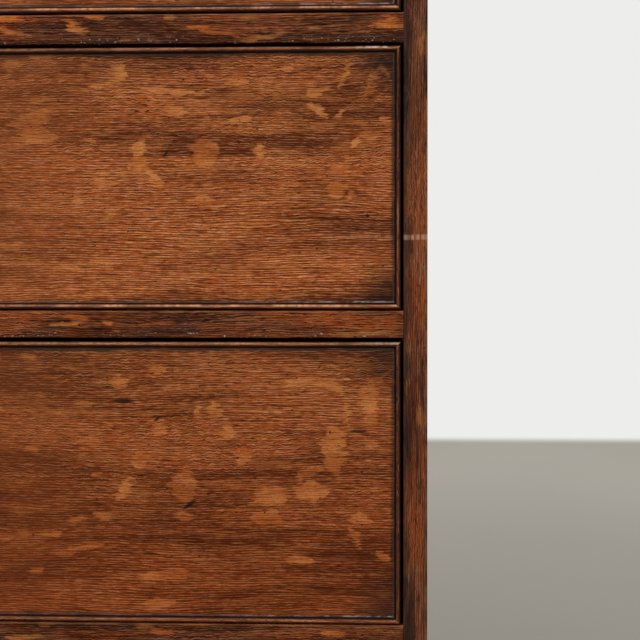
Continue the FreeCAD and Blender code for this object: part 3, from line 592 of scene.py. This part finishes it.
class Wood:
    """Old sawn wood with pores, pale streaks and stains: what every wooden finish starts from.

    The grain place has the run of the grain first, then the two directions across it.
    Where turn is 1 the grain runs the second way that is named, and where calm is 1 it runs straighter.
    """

    def __init__(self, name, palette, grain, offset, second_grain=None, turn=None, calm=None):
        self.material, self.graph = new_material(name)
        self.palette = palette
        g = self.graph
        self.xyz = g.split(g.node("ShaderNodeTexCoord").outputs["Object"])
        axes = [self.xyz[axis] for axis in GRAIN_ORDER[grain]]
        if turn:
            others = [self.xyz[axis] for axis in GRAIN_ORDER[second_grain]]
            factor = turn(g, self.xyz)
            axes = [g.blend(factor, a, b) for a, b in zip(axes, others)]
        self.broad_place = g.vector_math("ADD", g.vector(*axes), offset)
        self.set_grain(calm(g, self.xyz) if calm else 0.0)

    def set_grain(self, calm):
        """Bends the grain's lines, then lays the pores, streaks and stains along them."""
        g = self.graph
        wander = g.swing(g.noise(self.broad_place, WANDER), WANDER_REACH)
        lively = g.mul(g.patches(self.broad_place, LIVELY), g.sub(1.0, calm))
        ripple = g.swing(g.noise(self.broad_place, RIPPLE), g.blend(lively, *RIPPLE_REACH))
        self.place = g.shift(self.broad_place, across=g.add(wander, ripple))

        drift = g.mul(g.noise(self.place, DRIFT), ROW_DRIFT)
        turns = g.add(g.mul(g.split(self.place)[1], 1 / ROW_WIDTH), drift)
        rows = g.math("COSINE", g.mul(turns, 2 * math.pi))
        dashes = g.noise(self.place, DASHES)
        held = g.ramp(dashes, DASHES.start, DASHES.end, g.blend(calm, *PORES_HELD), 1.0)
        self.pores = g.mul(g.ramp(rows, *PORE_ROWS), held)
        self.pale = g.mul(g.ramp(rows, *PALE_ROWS), g.ramp(dashes, *PALE_DASHES))

        self.tone = g.noise(self.place, TONE)
        self.stain = g.patches(self.place, STAINS)
        teeth = g.noise(self.place, TEETH)
        self.ragged = g.swing(teeth, RAGGED_REACH)
        self.streaks = g.ramp(teeth, *TEETH.ramp)

    def random_flecks(self, pattern=RANDOM_FLECKS):
        g = self.graph
        return g.patches(g.shift(self.broad_place, along=self.ragged), pattern)

    def colour(self, flecks=None, depth=PORE_STRENGTH, stain=STAIN_STRENGTH):
        """The wood's colour. Depth is how dark its pores are, and stain how dark its stains."""
        g = self.graph
        palette = self.palette
        clusters = CLUSTER_STRENGTH
        tone = g.blend(TONE_SHARE, g.noise(self.place, BANDS), self.tone)
        light = g.ramp(tone, *LIGHT_TONES)
        hue = g.noise(self.place, HUE)
        colour = g.mix(light, palette["deep"], palette["warm"])
        colour = g.mix(g.ramp(hue, *TAN_HUES), colour, palette["tan"])
        # Pale streaks between the pore rows; on the oak fronts their greyish pale also paints the sheen on
        # the grain's ridges
        colour = g.mix(g.mul(self.pale, g.blend(light, *PALE_STRENGTH)), colour, palette["pale"])
        if flecks is not None:
            bright = g.ramp(hue, *HUE.ramp)
            streaky = g.mul(flecks, self.streaks)
            colour = g.mix(g.mul(streaky, g.blend(bright, *FLECK_STRENGTH)), colour, palette["fleck"])
            colour = g.mix(g.mul(streaky, bright, FLECK_LIGHT), colour, palette["light"])
            depth = g.blend(flecks, depth, FLECK_PORES)
            stain = g.blend(flecks, stain, FLECK_STAINS)
            clusters = g.blend(flecks, clusters, FLECK_CLUSTERS)
        colour = g.mix(g.mul(self.stain, stain), colour, palette["stain"])
        colour = g.mix(g.mul(self.pores, depth), colour, palette["pore"])
        colour = g.mix(g.mul(g.patches(self.place, CLUSTERS), clusters), colour, palette["stain"])
        colour = g.mix(g.patches(self.place, GRIT), colour, palette["pore"])
        colour = g.mix(g.patches(self.broad_place, SPECKS), colour, palette["pore"])
        colour = g.tint(colour, g.patches(self.place, ROSINESS), GREEN_TINT, ROSE_TINT)
        colour = g.tint(colour, g.patches(self.broad_place, GOLDNESS), BLUE_TINT, GOLD_TINT)
        if palette in (DARK_OAK, RAIL_OAK):
            colour = g.tint(colour, g.patches(self.broad_place, WARMTH), COOL_TINT, WARM_TINT)
        return colour

    def bare_colour(self):
        """The bare inner face of an oak board, dry and a little grey."""
        g = self.graph
        colour = g.mix(g.ramp(self.tone, *TONE.ramp), LINING["deep"], LINING["warm"])
        colour = g.mix(g.mul(self.stain, INNER_STAINS), colour, LINING["stain"])
        return g.mix(g.mul(self.pores, INNER_PORES), colour, LINING["pore"])

    def edge_distance(self, node_name):
        """How far a point on a board's surface is from the nearest edge of the board."""
        g = self.graph
        a, b, c = (
            g.least(g.sub(value, low), g.sub(high, value))
            for value, low, high in zip(self.xyz, *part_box(node_name))
        )
        return g.most(g.least(a, b), g.least(g.most(a, b), c))

    def wear_edges(self, colour, edge, width, amount):
        """Pale rubbed edges, broken where the finish has held."""
        g = self.graph
        broken = g.patches(self.broad_place, EDGE_WEAR)
        return g.mix(g.mul(g.ramp(edge, width, 0.0), broken, amount), colour, WORN_AND_HIGHLIGHT)

    def scuff(self, colour, level, where, half_height):
        """A long pale scratch at one height."""
        g = self.graph
        x, _, z = self.xyz
        bent = g.add(z, g.swing(g.noise(self.broad_place, SCUFF_BEND), SCUFF_BEND_REACH))
        line = g.ramp(g.size(g.sub(bent, level)), half_height, SCUFF_CORE * half_height)
        broken = g.patches(g.vector(x, 0.0, 0.0), SCUFF_BREAKS)
        return g.mix(g.mul(line, where, broken, SCUFF_STRENGTH), colour, SCRATCH)

    def finish(self, colour, rough=POLISHED_ROUGH, dull=0.0, gloss=WOOD_GLOSS):
        """Ends the finish: it is rougher in the pores and where it is dull."""
        g = self.graph
        roughness = g.blend(g.most(self.pores, dull), rough, rough + DULL_ROUGH)
        normal = g.bump(g.mul(self.pores, -1.0), *PORE_BUMP)
        g.surface(colour, roughness, normal, {"Specular IOR Level": gloss})
        return self.material


def drawer_front_finish(number):
    low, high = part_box(f"drawer_{number}_beads")

    def calm(g, xyz):
        return g.ramp(xyz[2], *(low.z + share * (high.z - low.z) for share in CALM_HEIGHTS))

    oak = Wood(f"oak_drawer_front_{number}", OAK, "across", DRAWER_OFFSET[number], calm=calm)
    g = oak.graph
    x, y, z = oak.xyz
    right = g.sub(high.x, x)
    left = g.sub(x, low.x)
    down = g.sub(high.z, z)
    up = g.sub(z, low.z)

    flecks, evened = front_flecks(oak, number, right, down)
    shade_top, shade_bottom, red_bottom = DRAWER_TONE[number]
    lower = g.ramp(z, high.z, low.z)
    shade = g.mul(g.blend(lower, shade_top, shade_bottom), g.blend(flecks, 1.0, SHADE_ON_FLECKS))
    colour = g.mix(evened, oak.colour(flecks), TOP_BROWN)
    colour = g.mix(shade, colour, OAK["stain"])
    colour = g.tint(colour, g.mul(lower, red_bottom), NO_TINT, RED_TINT)
    if number in NICKS_MM:
        near = g.nearest(g.vector(right, down, 0.0), NICKS_MM[number])
        colour = g.mix(g.ramp(near, *NICK_OUTLINE), colour, DIRT_AND_SHADE)
    if number == SCUFF_DRAWER:
        reach = g.ramp(right, *SCUFF_REACH)
        colour = oak.scuff(colour, high.z - SCUFF_DOWN, reach, FRONT_SCUFF_HALF)
    colour, darkening = front_dirt_and_shade(oak, colour, right, left, down, up)
    inside = g.ramp(g.sub(y, FRONT_Y), *FRONT_INSIDE)
    colour = g.mix(inside, colour, oak.bare_colour())
    return oak.finish(colour, dull=darkening, gloss=FRONT_GLOSS)


def front_flecks(oak, number, right, down):
    """A drawer front's flecks, placed where the photo shows them, and how far its colour is evened out."""
    g = oak.graph
    flecks = oak.random_flecks()
    if number not in FLECKS_MM:
        return flecks, FRONT_EVENED
    place = g.wobble(g.vector(right, down, 0.0), FLECK_WOBBLE, FLECK_WOBBLE_REACH)
    place = g.shift(place, along=g.mul(oak.ragged, FLECK_RAGGED))
    placed = g.ramp(g.nearest(place, FLECKS_MM[number]), *FLECK_OUTLINE)
    flecks = g.blend(g.ramp(right, SEEN_WIDTH, SEEN_WIDTH + FLECK_FADE), placed, flecks)
    return flecks, g.ramp(right, SEEN_WIDTH, SEEN_WIDTH + EVENED_FADE, 0.0, FRONT_EVENED)


def front_dirt_and_shade(oak, colour, right, left, down, up):
    """Darkening in a front's corners, painted shade below its top, and dirt along its beads, with a grey
    rim and a broken line of dust.
    """
    g = oak.graph
    to_side = g.least(right, left)
    to_level = g.least(down, up)
    edge = g.sub(g.least(to_side, to_level), BEAD_WIDTH)
    patches = g.patches(oak.broad_place, FRONT_PATCHES)
    corner = g.ramp(g.length(to_side, to_level), *CORNER_DARKENING)
    # Painted shade below the front's top
    shade = g.ramp(down, *TOP_SHADE)
    band = g.ramp(edge, *BAND_DIRT, 0.0, g.ramp(up, *BAND_DARKENS))
    darkening = g.most(g.mul(g.most(shade, band, corner), patches), g.mul(corner, CORNER_HELD))
    colour = g.mix(darkening, colour, DIRT_AND_SHADE)
    rim = g.ramp(g.size(g.sub(edge, RIM_AT)), *RIM_SPREAD)
    colour = g.mix(g.mul(rim, patches, RIM_STRENGTH), colour, GREY_DIRT)
    dust = g.mul(g.ramp(up, *DUST_HEIGHTS), g.ramp(right, *DUST_FROM_RIGHT))
    colour = g.mix(g.mul(rim, g.patches(oak.broad_place, DUST_BREAKS), dust), colour, DUST)
    colour = g.mix(g.ramp(edge, *JOINT_DIRT), colour, DIRT_AND_SHADE)
    return colour, darkening


def bead_finish(number):
    low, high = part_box(f"drawer_{number}_beads")

    def to_edges(g, xyz):
        x, _, z = xyz
        to_side = g.least(g.sub(x, low.x), g.sub(high.x, x))
        to_level = g.least(g.sub(z, low.z), g.sub(high.z, z))
        return to_side, to_level

    def upright(g, xyz):
        return g.math("LESS_THAN", *to_edges(g, xyz))

    oak = Wood(f"oak_beads_{number}", OAK, "across", BEAD_OFFSET[number], "up", upright)
    g = oak.graph
    x, y, z = oak.xyz
    to_side, to_level = to_edges(g, oak.xyz)
    level = g.math("GREATER_THAN", to_side, to_level)
    upper = g.math("GREATER_THAN", z, (low.z + high.z) / 2)
    # Rise goes from 0 to 1 across a bead: upwards on the level ones, and inwards on the upright ones
    bottom = g.blend(upper, low.z, high.z - BEAD_WIDTH)
    rise = g.mul(g.blend(level, to_side, g.sub(z, bottom)), 1 / BEAD_WIDTH)
    behind = g.sub(y, FRONT_Y)

    # Painted shade: beads darker off their crest and on their flanks, and the upright ones darker all over
    crest = g.ramp(behind, *(share * BEAD_PROUD for share in CREST_PROUD))
    flanks = g.most(g.ramp(rise, *LOWER_FLANK), g.ramp(rise, *UPPER_FLANK))
    colour = oak.colour(depth=0.5, stain=0.7)
    colour = g.mix(g.blend(crest, *CREST_SHADE), colour, DARK_OAK["pore"])
    colour = g.mix(g.mul(flanks, g.blend(level, *FLANK_SHADE)), colour, DARK_OAK["pore"])
    colour = g.mix(g.blend(level, *WHOLE_SHADE), colour, DARK_OAK["pore"])

    # Painted highlight, with some real rubbing, along the upper part of the level beads
    shine_top, shine_bottom = BEAD_SHINE[number]
    shine = g.mul(level, g.blend(upper, shine_bottom, shine_top))
    ridge = g.mul(g.ramp(rise, *RIDGE_BELOW), g.ramp(rise, *RIDGE_ABOVE))
    rubbed = g.patches(oak.broad_place, BEAD_RUBS_AND_HIGHLIGHTS)
    chipped = g.patches(oak.broad_place, BEAD_CHIPS)
    colour = g.mix(g.mul(ridge, rubbed, chipped, shine), colour, RUBBED_CREST_HIGHLIGHT)

    # Painted glint: a broken bright line on the upper bead near its right end
    corner = g.mul(g.ramp(g.sub(high.x, x), *GLINT_FROM_RIGHT), upper, level)
    glint = g.patches(oak.broad_place, BEAD_GLINTS._replace(high=BEAD_GLINT[number]))
    thin = g.mul(g.ramp(rise, *GLINT_BELOW), g.ramp(rise, *GLINT_ABOVE))
    colour = g.mix(g.mul(corner, glint, thin), colour, BARE_WOOD_AND_GLINT)
    # Painted shade where the beads meet the front and where they run back into the gaps
    colour = g.mix(g.ramp(behind, *BEAD_FOOT_SHADE), colour, DIRT_AND_SHADE)
    colour = g.mix(g.ramp(behind, *BEAD_BEHIND), colour, oak.colour(stain=0.8))
    return oak.finish(colour, rough=BEAD_ROUGH, gloss=BEAD_GLOSS)


def rail_finish(node_name):
    oak = Wood(f"oak_{node_name}", RAIL_OAK, "across", RAIL_OFFSET)
    g = oak.graph
    x, y, z = oak.xyz
    low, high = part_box(node_name)
    up = g.sub(z, low.z)
    down = g.sub(high.z, z)
    from_end = g.sub(SIDE_INNER_X, g.size(x))
    colour = oak.colour(oak.random_flecks(RAIL_FLECKS), depth=0.95, stain=0.85)
    if node_name not in SEEN_RAILS:
        colour = g.mix(UNSEEN_RAIL_SHADE, colour, DARK_OAK["stain"])
    patches = g.patches(oak.broad_place, RAIL_PATCHES)
    colour = g.mix(g.mul(patches, RAIL_GREY), colour, GREY_DIRT)
    low_edge = g.mul(g.ramp(up, *RAIL_LOW_DIRT), g.blend(patches, *RAIL_LOW_STRENGTH))
    darkening = g.most(low_edge, g.ramp(from_end, *RAIL_END_DIRT))
    colour = g.mix(g.mul(darkening, RAIL_GRIME), colour, RAIL_DIRT)
    chips = g.mul(g.patches(oak.broad_place, RAIL_CHIPS), g.ramp(up, *RAIL_LOW_CHIPS), patches)
    colour = g.mix(chips, colour, BARE_WOOD_AND_GLINT)
    # Pale top edge: wear, and a painted highlight where the edge catches the light
    top_wear_and_highlight = g.mul(g.ramp(down, *RAIL_TOP_WEAR_AND_HIGHLIGHT), g.blend(patches, *RAIL_TOP_STRENGTH))
    colour = g.mix(top_wear_and_highlight, colour, WORN_AND_HIGHLIGHT)
    # Painted shade on the rails' faces inside the gaps
    colour = g.mix(g.ramp(g.sub(y, FRONT_Y), *RAIL_SHADE_BEHIND), colour, DIRT_AND_SHADE)
    return oak.finish(colour, dull=darkening, gloss=FRONT_GLOSS)


def side_finish(node_name):
    oak = Wood(f"oak_{node_name}", DARK_OAK, "up", SIDE_OFFSET)
    g = oak.graph
    x, y, z = oak.xyz
    behind = g.sub(y, FRONT_Y)
    on_front = g.ramp(behind, *SIDE_FRONT_EDGE)
    across = g.size(x)
    from_inner = g.sub(across, SIDE_INNER_X)
    from_outer = g.sub(SIDE_OUTER_X, across)

    colour = oak.colour(oak.random_flecks(), depth=0.6, stain=0.6)
    streaks = g.noise(oak.place, SIDE_STREAKS)
    colour = g.mix(g.ramp(streaks, *SIDE_STREAKS.ramp), colour, OAK["tan"])
    dark = g.ramp(streaks, *DARK_STREAKS, 0.0, g.blend(on_front, *STREAK_SHADE))
    colour = g.mix(dark, colour, DARK_OAK["stain"])
    colour = g.mix(g.mul(on_front, g.ramp(z, *SIDE_DARKENS)), colour, DARK_OAK["stain"])
    colour = g.mix(g.blend(on_front, SIDE_EVENED, 0.0), colour, SIDE_BROWN)
    colour = oak.wear_edges(colour, oak.edge_distance(node_name), *SIDE_WEAR)

    reach = g.patches(oak.broad_place, SIDE_DIRT_REACH)
    inner_dirt = g.ramp(g.math("DIVIDE", from_inner, reach), *SIDE_INNER_DIRT)
    # Painted shade along the outer edge, which turns away from the light
    outer_shade = g.ramp(from_outer, *SIDE_OUTER_SHADE)
    darkening = g.mul(g.most(inner_dirt, outer_shade), on_front)
    colour = g.mix(darkening, colour, DIRT_AND_SHADE)
    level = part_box(f"drawer_{SCUFF_DRAWER}_beads")[1].z - SCUFF_DOWN
    right_front = g.mul(on_front, g.math("GREATER_THAN", x, 0.0))
    colour = oak.scuff(colour, level, right_front, SIDE_SCUFF_HALF)
    colour = g.vector_math("MULTIPLY", colour, SIDE_TINT)
    inside = g.mul(g.ramp(from_inner, *SIDE_INNER_FACE), g.ramp(behind, *SIDE_BEHIND))
    colour = g.mix(inside, colour, oak.bare_colour())
    return oak.finish(colour, dull=darkening)


def board_finish(node_name, grain, palette=DARK_OAK, brown=SIDE_BROWN, second_grain=None, turn=None):
    """Polished oak with rubbed edges and dark dirt beside them, and grey dirt near the floor."""
    oak = Wood(f"oak_{node_name}", palette, grain, BOARD_OFFSET, second_grain, turn)
    g = oak.graph
    edge = oak.edge_distance(node_name)
    colour = g.mix(BOARD_EVENED, oak.colour(oak.random_flecks()), brown)
    patches = g.patches(oak.broad_place, BOARD_PATCHES)
    darkening = g.mul(g.ramp(edge, *BOARD_DIRT), patches)
    colour = g.mix(darkening, colour, DIRT_AND_SHADE)
    colour = oak.wear_edges(colour, edge, *BOARD_WEAR)
    _, _, z = oak.xyz
    floor_dirt = g.mul(g.ramp(z, *FLOOR_DIRT_HEIGHTS), g.blend(patches, *FLOOR_DIRT_STRENGTH))
    colour = g.mix(floor_dirt, colour, GREY_DIRT)
    return oak.finish(colour, dull=g.most(darkening, floor_dirt))


def lining_finish(name, grain):
    wood = Wood(name, LINING, grain, LINING_OFFSET)
    return wood.finish(wood.colour(depth=0.6, stain=0.35), rough=LINING_ROUGH)


def back_finish(node_name):
    """Weathered boards, each with its own shade."""
    wood = Wood("weathered_back", WEATHERED, "up", BACK_OFFSET)
    g = wood.graph
    x, _, _ = wood.xyz
    low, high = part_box(node_name)
    width = (high.x - low.x) / BACK_BOARDS
    count = g.mul(g.sub(x, low.x), 1 / width)
    shade = g.node("ShaderNodeTexWhiteNoise", noise_dimensions="1D")
    g.feed(shade.inputs["W"], g.math("FLOOR", count))
    colour = wood.colour(depth=0.7, stain=0.7)
    colour = g.mix(g.mul(shade.outputs["Value"], BACK_SHADES), colour, WEATHERED["stain"])
    within = g.math("FRACT", count)
    joint = g.mul(g.least(within, g.sub(1.0, within)), width)
    colour = g.mix(g.ramp(joint, *BACK_JOINT_DIRT), colour, WEATHERED["stain"])
    colour = g.mix(g.ramp(joint, *BACK_JOINT), colour, DIRT_AND_SHADE)
    return wood.finish(colour, rough=BACK_ROUGH)


def brass_finish():
    material, g = new_material("aged_brass")
    place = g.node("ShaderNodeTexCoord").outputs["Object"]
    cloud = g.noise(place, BRASS_CLOUD)
    fine = g.noise(place, BRASS_GRAIN)
    colour = g.mix(g.ramp(cloud, *BRASS_CLOUD.ramp), BRASS, BRIGHT_BRASS)
    tarnish = g.ramp(g.blend(TARNISH_GRAIN, cloud, fine), *TARNISHED)
    colour = g.mix(g.mul(tarnish, TARNISH_STRENGTH), colour, TARNISH)
    roughness = g.add(g.mul(tarnish, TARNISH_ROUGH), g.ramp(fine, *BRASS_ROUGH))
    g.surface(colour, roughness, g.bump(fine, *BRASS_BUMP), {"Metallic": 1.0})
    return material


def iron_finish():
    material, g = new_material("dark_iron")
    place = g.node("ShaderNodeTexCoord").outputs["Object"]
    cloud = g.noise(place, IRON_CLOUD)
    colour = g.mix(g.ramp(cloud, *IRON_CLOUD.ramp), IRON, RUST)
    roughness = g.ramp(cloud, *IRON_ROUGH)
    g.surface(colour, roughness, g.bump(cloud, *IRON_BUMP), {"Metallic": 0.75})
    return material


def foot_turn(node_name):
    """Tells the side facing of a bracket foot from the front one, by the mitre between them."""
    low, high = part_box(node_name)

    def turn(g, xyz):
        x, y, _ = xyz
        from_side = g.sub(high.x, x) if low.x > 0 else g.sub(x, low.x)
        return g.math("LESS_THAN", from_side, g.sub(y, low.y))

    return turn


def assign(node_name, material):
    nodes[node_name].material_slots[0].material = material


def dress_carcase():
    iron = iron_finish()
    for name in ("drawer_rail_1", "drawer_rail_2", "drawer_rail_3", "top_rail", "bottom_rail"):
        assign(name, rail_finish(name))
    for name in ("left_side", "right_side"):
        assign(name, side_finish(name))
    assign("top_board", board_finish("top_board", "across", OAK, TOP_BROWN))
    assign("base_moulding_front", board_finish("base_moulding_front", "across"))
    for name in ("base_moulding_left", "base_moulding_right", "rear_left_foot", "rear_right_foot"):
        assign(name, board_finish(name, "deep"))
    for name in ("front_left_foot", "front_right_foot"):
        assign(name, board_finish(name, "across", second_grain="deep", turn=foot_turn(name)))
    assign("back_boards", back_finish("back_boards"))
    for name in ("back_nails", "top_screws"):
        assign(name, iron)


def dress_inside():
    across = lining_finish("lining_across", "across")
    deep = lining_finish("lining_deep", "deep")
    for name in ("top_back_rail", "bottom_board", "drawer_stops", "glue_blocks"):
        assign(name, across)
    for name in ("drawer_runners", "top_kickers"):
        assign(name, deep)
    for number in DRAWERS:
        for name in ("back", "bottom"):
            assign(f"drawer_{number}_{name}", across)
        for name in ("left_side", "right_side"):
            assign(f"drawer_{number}_{name}", deep)


def dress_drawers():
    brass = brass_finish()
    for number in DRAWERS:
        assign(f"drawer_{number}_front", drawer_front_finish(number))
        assign(f"drawer_{number}_beads", bead_finish(number))
        for name in ("handle_fittings", "left_bail", "right_bail"):
            assign(f"drawer_{number}_{name}", brass)


def build_stage():
    bpy.ops.mesh.primitive_plane_add(size=2 * FLOOR_HALF)
    floor = bpy.context.object
    floor.name = "studio_floor"
    material, g = new_material("floor_paint")
    place = g.node("ShaderNodeTexCoord").outputs["Object"]
    x, y, _ = g.split(place)
    fade = g.ramp(g.most(g.size(x), g.size(y)), *FLOOR_FADE)
    cloud = g.patches(place, FLOOR_CLOUD)
    # Painted shade: the floor darker near the chest
    shade = g.mul(cloud, g.ramp(g.length(x, y), *FLOOR_SHADE_NEAR))
    paint = g.vector_math("MULTIPLY", linear(FLOOR_COLOUR)[:3], g.vector(shade, shade, shade))
    diffuse = g.node("ShaderNodeBsdfDiffuse")
    g.feed(diffuse.inputs["Color"], paint)
    glow = g.node("ShaderNodeEmission")
    glow.inputs["Color"].default_value = linear(WALL_COLOUR)
    mixed = g.node("ShaderNodeMixShader")
    for socket, value in zip(mixed.inputs, (fade, diffuse.outputs[0], glow.outputs[0])):
        g.feed(socket, value)
    output = g.node("ShaderNodeOutputMaterial")
    g.feed(output.inputs["Surface"], mixed.outputs[0])
    floor.data.materials.append(material)


def build_world():
    world = bpy.data.worlds.new("studio")
    world.use_nodes = True
    bpy.context.scene.world = world
    g = Graph(world.node_tree)
    path = g.node("ShaderNodeLightPath").outputs
    _, y, z = g.split(g.node("ShaderNodeTexCoord").outputs["Generated"])
    room = g.most(g.ramp(y, *ROOM_BACK, ROOM_LIGHT, 1.0), g.ramp(z, *ROOM_TOP, ROOM_LIGHT, 1.0))
    seen = g.most(path["Is Camera Ray"], path["Is Transmission Ray"], path["Is Glossy Ray"])
    strength = g.blend(path["Is Glossy Ray"], 1.0, room)
    background = g.node("ShaderNodeBackground")
    g.feed(background.inputs["Color"], g.mix(seen, WHITE, WALL_COLOUR))
    g.feed(background.inputs["Strength"], g.blend(seen, WORLD_LIGHT, strength))
    output = g.node("ShaderNodeOutputWorld")
    g.feed(output.inputs["Surface"], background.outputs[0])


def build_light(lamp):
    data = bpy.data.lights.new(lamp.name, "AREA")
    data.shape = "RECTANGLE"
    data.size, data.size_y = lamp.size
    data.energy = lamp.power
    light = bpy.data.objects.new(lamp.name, data)
    light.location = lamp.at
    light.rotation_euler = (Vector(lamp.target) - Vector(lamp.at)).to_track_quat("-Z", "Y").to_euler()
    light.visible_camera = False
    light.visible_glossy = lamp.reflected
    bpy.context.scene.collection.objects.link(light)


def build_camera():
    data = bpy.data.cameras.new("camera")
    data.lens = LENS_MM
    data.sensor_width = SENSOR_MM
    camera = bpy.data.objects.new("camera", data)
    bpy.context.scene.collection.objects.link(camera)
    turn = Matrix.Rotation(CAMERA_YAW, 4, "Z") @ Matrix.Rotation(math.pi / 2, 4, "X")
    camera.matrix_world = Matrix.Translation(CAMERA_AT) @ turn @ Matrix.Rotation(CAMERA_ROLL, 4, "Z")
    bpy.context.scene.camera = camera


dress_carcase()
dress_inside()
dress_drawers()
build_stage()
build_world()
for lamp in LAMPS:
    build_light(lamp)
build_camera()
bpy.context.scene.view_settings.view_transform = "Standard"
